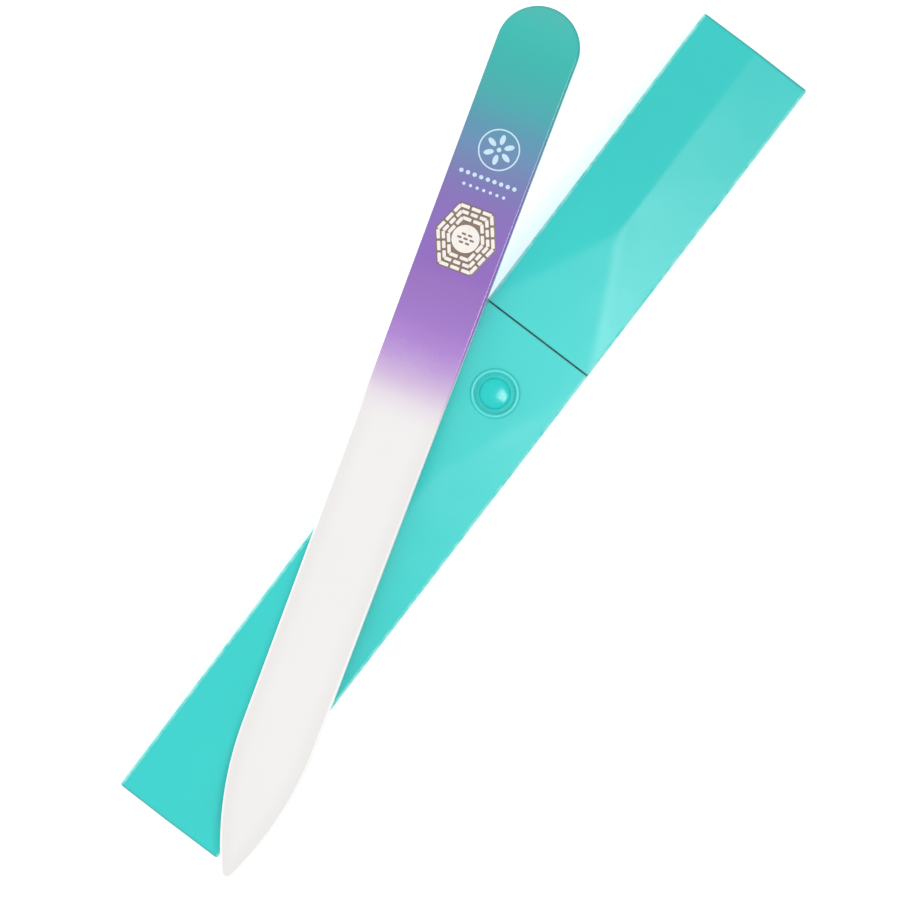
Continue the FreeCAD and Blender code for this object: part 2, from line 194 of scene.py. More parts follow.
# The plate's outline, anticlockwise from the tip, with outward directions and the middle
# line that each point is drawn in to: tip arc, nose arc square to the sides, straight side,
# half-round end, then the mirror image. With lowest it starts on the straight side there.
def plateOutline(lowest=None):
    handleHalf, noseHalf = glass["handleWidth"] / 2, glass["noseWidth"] / 2
    noseCentre = noseHalf - glass["noseRadius"]
    tipY = -halfLength + glass["tipRadius"]
    noseY = tipY + math.sqrt((glass["noseRadius"] - glass["tipRadius"]) ** 2 - noseCentre ** 2)
    meeting = math.atan2(tipY - noseY, -noseCentre)
    endY = halfLength - handleHalf

    end, endOutward = arc(0, endY, handleHalf, 0, math.pi / 2, glass["endSteps"])
    sideY = np.linspace(noseY if lowest is None else lowest, endY, glass["sideSteps"])[:-1]
    sideX = noseHalf + (handleHalf - noseHalf) * (sideY - noseY) / (endY - noseY)
    side = np.stack([sideX, sideY], axis=1)
    parts = [(side, side * 0 + [1, 0], side * [0, 1]), (end, endOutward, end * 0 + [0, endY])]
    if lowest is None:
        tip, tipOutward = arc(0, tipY, glass["tipRadius"], -math.pi / 2, meeting,
                              glass["tipSteps"])
        nose, noseOutward = arc(noseCentre, noseY, glass["noseRadius"], meeting, 0,
                                glass["noseSteps"])
        noseBase = nose - noseOutward * nose[:, :1] / noseOutward[:, :1]
        parts = [(tip[:-1], tipOutward[:-1], tip[:-1] * 0 + [0, tipY]),
                 (nose[:-1], noseOutward[:-1], noseBase[:-1])] + parts
    whole = []
    for key in range(3):
        right = np.concatenate([part[key] for part in parts])
        left = right[::-1] * [-1, 1]
        whole.append(np.concatenate([right, left[1:-1] if lowest is None else left[1:]]))
    return whole


# rings out over the top, a quarter turn round each of the two edges, and in along the underside
def makeGlassPlate():
    edge, shares = glass["edgeRound"], glass["topShares"]
    rings = stackRings(
        flatRings(shares, edge, plateTop),
        roundRings(edge, edge, plateTop - edge, 0, math.pi / 2, glass["roundSteps"]),
        roundRings(edge, edge, edge, math.pi / 2, math.pi, glass["roundSteps"]),
        flatRings(shares[::-1], edge, 0))
    return gridMesh("glassPlate", [layered(*plateOutline(), rings)])


# the sprayed colour: a thin closed skin that wraps a little way over the ground edge, and
# thins to almost nothing on the glass at its lower end
coat = {
    "length": 67 * mm,
    "outside": 0.05 * mm, "outsideAtEnd": 0.004 * mm,   # outside of the skin above the glass
    "thickness": 0.03 * mm, "thicknessAtEnd": 0.002 * mm,
    "thinFrom": 45 * mm,        # the skin starts to thin this far from the handle end
    "wrap": math.radians(62),
    "roundSteps": 6,
}


# Each side's height above the glass = at the end + (full - at the end) * built, where built
# goes from 0 at the skin's end to 1 where it starts to thin. A last column at either end has
# both sides half way between them, so the skin is closed.
def makeSprayedColour():
    edge, shares = glass["edgeRound"], glass["topShares"]
    outline, outward, base = (np.concatenate([part[:1], part, part[-1:]])
                              for part in plateOutline(fromHandle(coat["length"])))
    lowest, full = fromHandle(coat["length"]), fromHandle(coat["thinFrom"])
    built = np.clip((outline[:, 1] - lowest) / (full - lowest), 0, 1)
    outside = coat["outsideAtEnd"] + (coat["outside"] - coat["outsideAtEnd"]) * built
    thickness = coat["thicknessAtEnd"] + (coat["thickness"] - coat["thicknessAtEnd"]) * built
    inside = outside - thickness
    for side in (outside, inside):
        side[[0, -1]] = coat["outsideAtEnd"] - coat["thicknessAtEnd"] / 2
    rings = stackRings(
        flatRings(shares, edge, plateTop + outside),
        roundRings(edge + outside, edge, plateTop - edge, 0, coat["wrap"], coat["roundSteps"]),
        roundRings(edge + inside, edge, plateTop - edge, coat["wrap"], 0, coat["roundSteps"]),
        flatRings(shares[::-1], edge, plateTop + inside))
    grid = layered(outline, outward, base, rings)
    return gridMesh("sprayedColour", [grid], closedRows=False)


# the white print: a ring round a rosette, over two rows of dots
ink = {
    "low": 0.045 * mm,          # underside above the glass, just inside the sprayed skin
    "height": 0.035 * mm,
    "rosetteFromEnd": 22 * mm,
    "ringRadius": 2.97 * mm,
    "ringWidth": 0.22 * mm,
    "petals": 6,
    "petalFrom": 0.78 * mm, "petalTo": 2.3 * mm, "petalWidth": 0.78 * mm,
    "middleRadius": 0.34 * mm,
    "rowsFromEnd": (26.6 * mm, 28.3 * mm),
    "dotsInRow": (9, 7),
    "dotPitch": 1.03 * mm,
    "dotRadii": (0.32 * mm, 0.24 * mm),
    "aroundSteps": 20, "sectionSteps": 6,
    "ringSteps": 80, "ringSectionSteps": 12,
}


# a low oval dome, closed underneath: an ellipsoid squashed to the ink's height
def inkDome(centreX, centreY, halfLong, halfWide, turn):
    around = np.linspace(0, 2 * math.pi, ink["aroundSteps"], endpoint=False)
    down = np.linspace(0, math.pi, ink["sectionSteps"] + 1)[:, None]
    u = halfLong * np.sin(down) * np.cos(around)
    v = halfWide * np.sin(down) * np.sin(around)
    x = centreX + u * math.cos(turn) - v * math.sin(turn)
    y = centreY + u * math.sin(turn) + v * math.cos(turn)
    z = plateTop + ink["low"] + ink["height"] / 2 * (1 + np.cos(down)) + 0 * x
    return placed(x, y, z, halfWide * (1 - np.sin(down)))


# a flattened ring: radius - half the width * cos, half the height * (1 + sin)
def inkRing(centreY):
    around = np.linspace(0, 2 * math.pi, ink["ringSteps"], endpoint=False)
    section = np.linspace(0, 2 * math.pi, ink["ringSectionSteps"], endpoint=False)[:, None]
    radius = ink["ringRadius"] - ink["ringWidth"] / 2 * np.cos(section)
    x = radius * np.cos(around)
    y = centreY + radius * np.sin(around)
    z = plateTop + ink["low"] + ink["height"] / 2 * (1 + np.sin(section)) + 0 * x
    return placed(x, y, z, 0)


# petals at even angles round the rosette's middle, and dots at an even pitch along each row
def makeWhitePrint():
    centreY = fromHandle(ink["rosetteFromEnd"])
    domes = [inkDome(0, centreY, ink["middleRadius"], ink["middleRadius"], 0)]
    petalMiddle = (ink["petalFrom"] + ink["petalTo"]) / 2
    petalHalf = (ink["petalTo"] - ink["petalFrom"]) / 2
    for petal in range(ink["petals"]):
        turn = math.pi / 2 + 2 * math.pi * petal / ink["petals"]   # the first lies lengthways
        x, y = petalMiddle * math.cos(turn), centreY + petalMiddle * math.sin(turn)
        domes.append(inkDome(x, y, petalHalf, ink["petalWidth"] / 2, turn))
    for distance, count, radius in zip(ink["rowsFromEnd"], ink["dotsInRow"], ink["dotRadii"]):
        for dot in range(count):
            x = ink["dotPitch"] * (dot - (count - 1) / 2)
            domes.append(inkDome(x, fromHandle(distance), radius, radius, 0))
    print("print:", len(domes), "domes")
    ring = gridMesh("whitePrintRing", [inkRing(centreY)], closedColumns=True)
    return gridMesh("whitePrint", domes), ring


# the foil seal: a six-sided sticker with rings of short pale dashes round a plain middle
seal = {
    "fromEnd": 35.8 * mm,
    "halfLength": 4.9 * mm, "halfWidth": 4.75 * mm, "halfFlat": 2.65 * mm,
    "cornerRound": 0.35 * mm, "cornerSteps": 6,
    "low": 0.045 * mm, "thickness": 0.03 * mm,
    "dashRings": (0.96, 0.79, 0.62),        # each ring's size over the sticker's
    "dashesPerSide": (3, 3, 2),
    "dashWidth": 0.5 * mm, "dashGap": 0.32 * mm, "dashHeight": 0.012 * mm,
    "dashRound": 0.25,          # corner radius as a share of the dash's width
    "markCornerSteps": 3,
    "discRadius": 2.05 * mm, "discRound": 0.1, "discSteps": 48, "discCornerSteps": 2,
    "barRows": ((0.62 * mm, 2), (0.0, 3), (-0.62 * mm, 2)),   # place along the file, bars
    "barPitch": 0.95 * mm, "barLength": 0.66 * mm, "barWidth": 0.3 * mm,
    "barHeight": 0.006 * mm, "barRound": 0.25,
    "markSink": 0.1,            # share of the sticker's thickness that the marks sink into it
    "edgeShare": 0.6,           # upper edge's rounding, over the thickness or corner radius
    "topShares": (1, 0.5, 0.05), "roundSteps": 3,
}


# An anticlockwise convex polygon whose corners are arcs: each arc's centre lies inside both
# sides by the radius, and point = centre + radius * direction.
def roundedPolygon(corners, radius, steps):
    side = np.roll(corners, -1, axis=0) - corners
    side /= np.linalg.norm(side, axis=1)[:, None]
    after = np.stack([side[:, 1], -side[:, 0]], axis=1)
    before = np.roll(after, 1, axis=0)
    pull = radius / (1 + (before * after).sum(axis=1))[:, None]
    centres = corners - (before + after) * pull
    first = np.arctan2(before[:, 1], before[:, 0])
    turn = (np.arctan2(after[:, 1], after[:, 0]) - first) % (2 * math.pi)
    angle = (first[:, None] + turn[:, None] * np.linspace(0, 1, steps)).ravel()
    outward = np.stack([np.cos(angle), np.sin(angle)], axis=1)
    return np.repeat(centres, steps, axis=0) + outward * radius, outward


# a thin closed plate: rings out over its top, round its upper edge, and in along its underside
def thinPlate(corners, radius, low, thickness, steps):
    outline, outward = roundedPolygon(corners, radius, steps)
    base = outline * 0 + corners.mean(axis=0)
    edge = min(thickness, radius) * seal["edgeShare"]
    rings = stackRings(
        flatRings(seal["topShares"], edge, low + thickness),
        roundRings(edge, edge, low + thickness - edge, 0, math.pi / 2, seal["roundSteps"]),
        flatRings((0, 1), 0, low))
    return layered(outline, outward, base, rings)


# the sticker's six corners, drawn in to its middle by the scale
def sealCorners(scale):
    middle = fromHandle(seal["fromEnd"])
    flat, wide, long = (scale * seal[key] for key in ("halfFlat", "halfWidth", "halfLength"))
    return np.array([(-flat, middle - long), (flat, middle - long), (wide, middle),
                     (flat, middle + long), (-flat, middle + long), (-wide, middle)])


# Every side of each ring is cut into equal steps, and a dash fills a step but for the gap, from
# the side inwards by its width. Bars lie at an even pitch on the disc.
def makeFoilSeal():
    low = plateTop + seal["low"]
    sticker = thinPlate(sealCorners(1), seal["cornerRound"], low, seal["thickness"],
                        seal["cornerSteps"])
    sink = seal["thickness"] * seal["markSink"]
    top, height = low + seal["thickness"] - sink, seal["dashHeight"] + sink
    marks = []
    for scale, perSide in zip(seal["dashRings"], seal["dashesPerSide"]):
        ringCorners = sealCorners(scale)
        for start, end in zip(ringCorners, np.roll(ringCorners, -1, axis=0)):
            step = (end - start) / perSide
            onward = step / np.linalg.norm(step)
            deep = np.array([-onward[1], onward[0]]) * seal["dashWidth"]
            for dash in range(perSide):
                near = start + step * dash + onward * seal["dashGap"] / 2
                far = start + step * (dash + 1) - onward * seal["dashGap"] / 2
                corners = np.array([near, far, far + deep, near + deep])
                corner = seal["dashWidth"] * seal["dashRound"]
                marks.append(thinPlate(corners, corner, top, height, seal["markCornerSteps"]))
    around = np.linspace(0, 2 * math.pi, seal["discSteps"], endpoint=False)
    disc = np.stack([np.cos(around), np.sin(around)], axis=1) * seal["discRadius"]
    disc += [0, fromHandle(seal["fromEnd"])]
    marks.append(thinPlate(disc, seal["dashWidth"] * seal["discRound"], top, height,
                           seal["discCornerSteps"]))
    bars = []
    for place, count in seal["barRows"]:
        for bar in range(count):
            x = seal["barPitch"] * (bar - (count - 1) / 2)
            y = fromHandle(seal["fromEnd"]) + place
            long, wide = seal["barLength"] / 2, seal["barWidth"] / 2
            corners = np.array([(x - long, y - wide), (x + long, y - wide),
                                (x + long, y + wide), (x - long, y + wide)])
            corner = seal["barWidth"] * seal["barRound"]
            bars.append(thinPlate(corners, corner, top + height, seal["barHeight"],
                                  seal["markCornerSteps"]))
    print("seal:", len(marks), "pale marks and", len(bars), "brown bars")
    return (gridMesh("foilSticker", [sticker]), gridMesh("foilMarks", marks),
            gridMesh("foilBars", bars))


glassPlate = makeGlassPlate()
sprayedColour = makeSprayedColour()
whitePrint, whitePrintRing = makeWhitePrint()
foilSticker, foilMarks, foilBars = makeFoilSeal()
for piece, slot in ((glassPlate, "etched_glass"), (sprayedColour, "sprayed_colour"),
                    (whitePrint, "white_ink"), (whitePrintRing, "white_ink"),
                    (foilSticker, "foil"), (foilMarks, "foil"), (foilBars, "foil")):
    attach(piece, "file")
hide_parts("glass_blank")
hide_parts("handle_coat")
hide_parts("printed_ornament")
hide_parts("foil_seal")
print("file pieces made")


# short ways to add nodes; a value may be a number, a colour, a direction or a socket
def addNode(tree, kind, inputs=None, **settings):
    node = tree.nodes.new(kind)
    for key, value in settings.items():
        setattr(node, key, value)
    for key, value in (inputs or {}).items():
        if isinstance(value, bpy.types.NodeSocket):
            tree.links.new(value, node.inputs[key])
        elif node.inputs[key].type == "VECTOR" and hasattr(value, "__len__"):
            node.inputs[key].default_value = value[:3]
        else:
            node.inputs[key].default_value = value
    return node


# one maths node's result
def maths(tree, operation, first, second=0.0, third=0.0, clamp=False):
    inputs = {0: first, 1: second, 2: third}
    return addNode(tree, "ShaderNodeMath", inputs, operation=operation, use_clamp=clamp).outputs[0]


# 0 at low, 1 at high, and an even S between: 3 t squared - 2 t cubed
def smooth(tree, value, low, high):
    inputs = {"Value": value, "From Min": low, "From Max": high}
    return addNode(tree, "ShaderNodeMapRange", inputs, interpolation_type="SMOOTHSTEP").outputs[0]


# first + factor * (second - first), for colours
def mix(tree, factor, first, second):
    inputs = {0: factor, 6: first, 7: second}
    return addNode(tree, "ShaderNodeMix", inputs, data_type="RGBA").outputs[2]


# first + mask * (second - first), for single values
def between(tree, mask, first, second):
    return addNode(tree, "ShaderNodeMix", {0: mask, 2: first, 3: second},
                   data_type="FLOAT").outputs[0]


# fractal noise about 0.5; detail is how many times it is added at half the size
def noise(tree, vector, scale, detail=2.0, roughness=0.5):
    inputs = {"Vector": vector, "Scale": scale, "Detail": detail, "Roughness": roughness}
    return addNode(tree, "ShaderNodeTexNoise", inputs).outputs["Fac"]


# a colour as shown, 0 to 255, as the linear colour that a socket takes, by the sRGB curve
def srgb(red, green, blue):
    shown = np.array([red, green, blue]) / 255
    linear = np.where(shown <= 0.04045, shown / 12.92, ((shown + 0.055) / 1.055) ** 2.4)
    return (*linear.tolist(), 1.0)


# a shader node group; values maps each number's name to its default
def newGroup(name, values, output):
    tree = bpy.data.node_groups.new(name, "ShaderNodeTree")
    tree.interface.new_socket("Vector", in_out="INPUT", socket_type="NodeSocketVector")
    for label, value in values.items():
        socket = tree.interface.new_socket(label, in_out="INPUT", socket_type="NodeSocketFloat")
        socket.default_value = value
    tree.interface.new_socket(output, in_out="OUTPUT", socket_type="NodeSocketFloat")
    return tree, tree.nodes.new("NodeGroupInput").outputs, tree.nodes.new("NodeGroupOutput").inputs


# fine grain in two sizes, for a bump or for roughness: fine noise + coarse share * coarser noise
def makeGrainGroup():
    coarserScale = 0.22
    tree, given, result = newGroup("fineGrain", {"Scale": 4000.0, "Coarse": 0.35}, "Height")
    fine = noise(tree, given["Vector"], given["Scale"], detail=3.0, roughness=0.6)
    coarse = noise(tree, given["Vector"], maths(tree, "MULTIPLY", given["Scale"], coarserScale))
    tree.links.new(maths(tree, "MULTIPLY_ADD", coarse, given["Coarse"], fine), result["Height"])
    return tree


# slow drift over a surface: amount * (2 * noise - 1)
def makeDriftGroup():
    tree, given, result = newGroup("slowDrift", {"Scale": 60.0, "Amount": 0.03}, "Drift")
    slow = noise(tree, given["Vector"], given["Scale"], detail=3.0, roughness=0.55)
    centred = maths(tree, "MULTIPLY_ADD", slow, 2.0, -1.0)
    tree.links.new(maths(tree, "MULTIPLY", centred, given["Amount"]), result["Drift"])
    return tree


# sparse round specks: 1 inside a speck, 0 outside; Share is the part of cells that hold one
def makeSpeckGroup():
    values = {"Scale": 900.0, "Size": 0.12, "Share": 0.2}
    tree, given, result = newGroup("fineSpecks", values, "Mask")
    inputs = {"Vector": given["Vector"], "Scale": given["Scale"]}
    cells = addNode(tree, "ShaderNodeTexVoronoi", inputs).outputs
    near = maths(tree, "LESS_THAN", cells["Distance"], given["Size"])
    chance = addNode(tree, "ShaderNodeSeparateColor", {0: cells["Color"]}).outputs[0]
    some = maths(tree, "LESS_THAN", chance, given["Share"])
    tree.links.new(maths(tree, "MULTIPLY", near, some), result["Mask"])
    return tree


grainGroup, driftGroup, speckGroup = makeGrainGroup(), makeDriftGroup(), makeSpeckGroup()
refraction = 1.5                # glass, paint and plastic alike


# a material with a Principled BSDF whose plain sockets are set by name
def newMaterial(name, plain):
    material = bpy.data.materials.new(name)
    material.use_nodes = True
    tree = material.node_tree
    tree.nodes.clear()
    shader = addNode(tree, "ShaderNodeBsdfPrincipled", plain)
    addNode(tree, "ShaderNodeOutputMaterial", {"Surface": shader.outputs[0]})
    return material, tree, shader.inputs


# a shared group placed in a material with its own values; scales are per metre
def fromGroup(tree, group, vector, **values):
    node = tree.nodes.new("ShaderNodeGroup")
    node.node_tree = group
    tree.links.new(vector, node.inputs["Vector"])
    for label, value in values.items():
        node.inputs[label].default_value = value
    return node.outputs[0]


# the place in the frame, in metres
def objectPlace(tree):
    return addNode(tree, "ShaderNodeTexCoord").outputs["Object"]


# millimetres from the handle end, from the piece's UV map
def alongFile(tree):
    uv = addNode(tree, "ShaderNodeUVMap", uv_map="UVMap").outputs[0]
    along = addNode(tree, "ShaderNodeSeparateXYZ", {0: uv}).outputs[1]
    lengthMm = fileAxes["length"] / mm
    return maths(tree, "MULTIPLY_ADD", along, -lengthMm, lengthMm / 2)


# metres in from the file's outline, kept on the piece's points
def inwardFromOutline(tree):
    return addNode(tree, "ShaderNodeAttribute", attribute_name="inward").outputs["Fac"]


# 1 at the outline and 0 this far in from it
def nearOutline(tree, distance):
    return smooth(tree, inwardFromOutline(tree), distance, 0.0)


# a bump whose height is in millimetres
def bump(tree, height, **inputs):
    values = {"Strength": 1.0, "Distance": mm, "Height": height, **inputs}
    return addNode(tree, "ShaderNodeBump", values).outputs[0]


# a colour made lighter or darker by a drift round 0: colour * (1 + drift)
def toned(tree, colour, drift):
    factor = maths(tree, "ADD", drift, 1.0)
    inputs = {0: colour, "Scale": factor}
    return addNode(tree, "ShaderNodeVectorMath", inputs, operation="SCALE").outputs[0]


# the sprayed paint; places along it are in millimetres from the handle end
spray = {
    "stops": [
        (0, (58, 176, 168)), (4, (28, 178, 168)), (7, (24, 174, 165)), (10, (32, 169, 164)),
        (13, (43, 165, 163)), (16, (57, 156, 166)), (19, (74, 142, 168)), (22, (92, 133, 174)),
        (25, (104, 121, 170)), (28, (116, 107, 173)), (31, (125, 99, 177)),
        (40, (135, 93, 182)), (43, (144, 99, 182)), (46, (146, 104, 186)),
        (49, (153, 109, 192)), (52, (165, 122, 200)), (55, (182, 148, 206)),
        (58, (202, 178, 212)), (61, (221, 211, 222)), (64, (229, 223, 225)),
    ],
    "mistFrom": 47.0, "mistTo": 60.0,   # the paint breaks into a mist between these
    "mistScale": 4200.0, "mistCoarse": 0.35, "mistMiddle": 0.67, "mistReach": 3.0,
    "bareFrom": 60.0, "bareTo": 66.5,   # and looks like the bare glass after these
    "wanderScale": 90.0, "wander": 0.7,
    "driftScale": 45.0, "drift": 0.025,
    "edgeShadeReach": 0.5 * mm, "edgeShadeTone": -0.16,   # painted shade: the paint is darker just inside the outline
    "roughness": 0.2, "handledScale": 150.0, "handled": 0.05,
    "gloss": 0.4, "glossRoughness": 0.08,
    "peelScale": 1500.0, "peelCoarse": 0.8, "peelHeight": 0.0025,
}


# the paint's colour at a distance from the handle end, in straight steps between the stops
def sprayRamp(tree, distance):
    longest = spray["stops"][-1][0]
    ramp = addNode(tree, "ShaderNodeValToRGB", {0: maths(tree, "DIVIDE", distance, longest)})
    elements = ramp.color_ramp.elements
    while len(elements) < len(spray["stops"]):
        elements.new(1.0)
    for element, (place, colour) in zip(elements, spray["stops"]):
        element.position = place / longest
        element.color = srgb(*colour)
    return ramp.outputs[0]


# the etched glass: white, with a painted highlight of paler white on the rounded ground edge, and
# clear under the handle
etching = {
    "white": (230, 229, 228), "sideWhite": (226, 223, 221), "groundHighlightWhite": (250, 252, 252),
    "sideReach": 3.0 * mm,
    "groundReach": 0.42 * mm, "groundStart": 0.03 * mm,   # in from the outline
    "driftScale": 70.0, "drift": 0.012,
    "sparkleScale": 5200.0, "sparkleSize": 0.3, "sparkleShare": 0.12,
    "sparkleRoughness": -0.22, "roughness": 0.58,
    "gritScale": 6500.0, "gritCoarse": 0.3, "gritHeight": 0.015,
    "clearTo": 40.0, "etchedFrom": 56.0,    # millimetres from the handle end
    "clearColour": (236, 238, 240), "clearRoughness": 0.16,
    "paintShow": 0.6,                       # how far the paint tints the clear glass under it
}


# the etched surface's colour, roughness and grit: the mask of the painted highlight on the ground
# edge is
# 1 just inside the outline and falls to 0 on the wall and on the flat
def etchedSurface(tree, place):
    side = nearOutline(tree, etching["sideReach"])
    white = mix(tree, side, srgb(*etching["white"]), srgb(*etching["sideWhite"]))
    ground = maths(tree, "MULTIPLY", nearOutline(tree, etching["groundReach"]),
                   smooth(tree, inwardFromOutline(tree), 0.0, etching["groundStart"]))
    # painted highlight: paler white on the rounded ground edge
    white = mix(tree, ground, white, srgb(*etching["groundHighlightWhite"]))
    drift = fromGroup(tree, driftGroup, place,
                      Scale=etching["driftScale"], Amount=etching["drift"])
    sparkle = fromGroup(tree, speckGroup, place, Scale=etching["sparkleScale"],
                        Size=etching["sparkleSize"], Share=etching["sparkleShare"])
    rough = maths(tree, "MULTIPLY_ADD", sparkle, etching["sparkleRoughness"],
                  etching["roughness"])
    grit = fromGroup(tree, grainGroup, place,
                     Scale=etching["gritScale"], Coarse=etching["gritCoarse"])
    grit = maths(tree, "MULTIPLY", grit, etching["gritHeight"])
    return toned(tree, white, drift), rough, grit


# glass etched white towards the nose, smooth and tinted by the paint under the handle
def makeEtchedGlass():
    material, tree, sockets = newMaterial("etchedGlass", {"IOR": refraction})
    place, distance = objectPlace(tree), alongFile(tree)
    white, gritRough, grit = etchedSurface(tree, place)
    etched = smooth(tree, distance, etching["clearTo"], etching["etchedFrom"])
    tinted = mix(tree, etching["paintShow"], srgb(*etching["clearColour"]),
                 sprayRamp(tree, distance))
    tree.links.new(mix(tree, etched, tinted, white), sockets["Base Color"])
    rough = between(tree, etched, etching["clearRoughness"], gritRough)
    tree.links.new(rough, sockets["Roughness"])
    tree.links.new(bump(tree, maths(tree, "MULTIPLY", grit, etched)), sockets["Normal"])
    return material


# Glossy spray whose lower edge wanders a little and breaks into a fine mist, down to the look
# of the bare etched glass where the skin ends. The mist moves the colour's place by
# reach * (grain - its middle) * sin(pi * thin).
def makeSprayedPaint():
    material, tree, sockets = newMaterial("sprayedPaint", {
        "IOR": refraction, "Coat Roughness": spray["glossRoughness"]})
    place, distance = objectPlace(tree), alongFile(tree)
    white, gritRough, grit = etchedSurface(tree, place)
    thin = smooth(tree, distance, spray["mistFrom"], spray["mistTo"])
    bare = smooth(tree, distance, spray["bareFrom"], spray["bareTo"])
    wander = fromGroup(tree, driftGroup, place,
                       Scale=spray["wanderScale"], Amount=spray["wander"])
    mist = fromGroup(tree, grainGroup, place,
                     Scale=spray["mistScale"], Coarse=spray["mistCoarse"])
    mist = maths(tree, "ADD", mist, -spray["mistMiddle"])
    mist = maths(tree, "MULTIPLY", mist, spray["mistReach"])
    midway = maths(tree, "SINE", maths(tree, "MULTIPLY", thin, math.pi))
    mist = maths(tree, "MULTIPLY", mist, midway)
    strayed = maths(tree, "ADD", maths(tree, "ADD", distance, wander), mist)
    drift = fromGroup(tree, driftGroup, place, Scale=spray["driftScale"], Amount=spray["drift"])
    # painted shade: a darker line just inside the outline, for the glass edge's dark rim
    edgeShade = maths(tree, "MULTIPLY", nearOutline(tree, spray["edgeShadeReach"]),
                     spray["edgeShadeTone"])
    tone = maths(tree, "MULTIPLY", maths(tree, "ADD", drift, edgeShade),
                 maths(tree, "SUBTRACT", 1.0, thin))
    paint = toned(tree, sprayRamp(tree, strayed), tone)
    tree.links.new(mix(tree, bare, paint, white), sockets["Base Color"])
    underside = addNode(tree, "ShaderNodeNewGeometry").outputs["Backfacing"]
    tree.links.new(maths(tree, "SUBTRACT", 1.0, underside), sockets["Alpha"])
    rough = fromGroup(tree, driftGroup, place,
                      Scale=spray["handledScale"], Amount=spray["handled"])
    rough = between(tree, thin, maths(tree, "ADD", rough, spray["roughness"]), gritRough)
    tree.links.new(rough, sockets["Roughness"])
    gloss = maths(tree, "MULTIPLY_ADD", thin, -spray["gloss"], spray["gloss"])
    tree.links.new(gloss, sockets["Coat Weight"])
    peel = fromGroup(tree, grainGroup, place,
                     Scale=spray["peelScale"], Coarse=spray["peelCoarse"])
    peel = maths(tree, "MULTIPLY", peel, spray["peelHeight"])
    relief = between(tree, thin, peel, grit)
    tree.links.new(bump(tree, relief), sockets["Normal"])
    return material


# the print and the foil; the grain's roughness and height (in millimetres) are the same in all
whiteInk = {
    "colour": (194, 220, 236), "metallic": 0.0, "mottle": 0.05, "mottleScale": 900.0,
    "grainScale": 9000.0, "roughness": 0.3,
}
brownFoil = {
    "colour": (130, 112, 98), "metallic": 0.4, "mottle": 0.18, "mottleScale": 500.0,
    "grainScale": 5000.0, "roughness": 0.2,
}
paleFoil = {
    "colour": (236, 229, 224), "metallic": 0.1, "mottle": 0.1, "mottleScale": 700.0,
    "grainScale": 7000.0, "roughness": 0.22,
}
layerGrain = {"coarse": 0.5, "roughness": 0.2, "height": 0.003}


# print or foil: a toned colour with fine grain in its roughness and its surface
def makeThinLayer(name, finish):
    material, tree, sockets = newMaterial(name, {
        "IOR": refraction, "Metallic": finish["metallic"]})
    place = objectPlace(tree)
    drift = fromGroup(tree, driftGroup, place,
                      Scale=finish["mottleScale"], Amount=finish["mottle"])
    tree.links.new(toned(tree, srgb(*finish["colour"]), drift), sockets["Base Color"])
    grain = fromGroup(tree, grainGroup, place,
                      Scale=finish["grainScale"], Coarse=layerGrain["coarse"])
    rough = maths(tree, "MULTIPLY_ADD", grain, layerGrain["roughness"], finish["roughness"])
    tree.links.new(rough, sockets["Roughness"])
    relief = maths(tree, "MULTIPLY", grain, layerGrain["height"])
    tree.links.new(bump(tree, relief), sockets["Normal"])
    return material


# the case's moulded plastic; colours come with how far they are mixed in, and bands with the
# distance at which they start and the nearer one at which they are full
plastic = {
    "colour": (38, 202, 197),
    "neckColour": (32, 178, 175),
    # painted shade: a deeper, more saturated colour inside the recess
    "recessShadeColour": (0, 205, 200),
    # painted highlight: a paler colour round the recess rim
    "rimColour": (120, 232, 228), "rimMix": 0.5,
    "rubbedColour": (172, 228, 222), "rubbedMix": 0.8,
    "endColour": (60, 140, 136), "endMix": 0.75,
    "seamColour": (10, 112, 110), "seamMix": 0.45,
    "driftScale": 55.0, "drift": 0.03,
    "capEndShadeFrom": 15 * mm, "capEndShadeTo": 62 * mm,   # painted shade: the colour darkens towards the cap's end
    "capEndShadeTone": -0.08,
    "sideBand": (0.55 * mm, 0.15 * mm),     # painted highlight: paler along the long sides, in patches
    "endShadeBand": (0.4 * mm, 0.12 * mm),       # painted shade: darker along the square ends
    "seamShadeBand": (0.32 * mm, 0.12 * mm),     # painted shade: darker along the parting line between cap and body
    "edgeDrop": (0.9, 0.3),                 # how far down those edges reach, in millimetres
    "highlightPatchScale": 700.0, "highlightPatchRange": (-0.6, 0.4),
    "roughness": 0.25, "handledScale": 120.0, "handled": 0.05,
    "recessRoughness": -0.1, "edgeHighlightRoughness": 0.3,
    "softRidge": 0.17,          # how far the facets' planes blend, in millimetres of height
    "grainScale": 3800.0, "grainCoarse": 0.5, "grainHeight": 0.004,
    "sinkScale": 26.0, "sinkHeight": 0.11,  # slow waviness of a thin moulding
    "glowThrough": 0.05, "glowDepth": 0.5 * mm,
}

# the round recess; its centre is set back from the body's end at the parting line
recess = {
    "setback": 10.1 * mm,
    "depthBelowTop": 2 * mm,            # its colours stop this far down
    "wall": (3.05 * mm, 2.85 * mm),     # radii where its colour starts and is full
    "rimRadius": 3.3 * mm, "rimHalf": 0.3 * mm,
}

# what counts as a top facet: how level it is, how high up, and its least area
facet = {"level": 0.9, "height": 0.75, "leastArea": 60 * mm * mm}


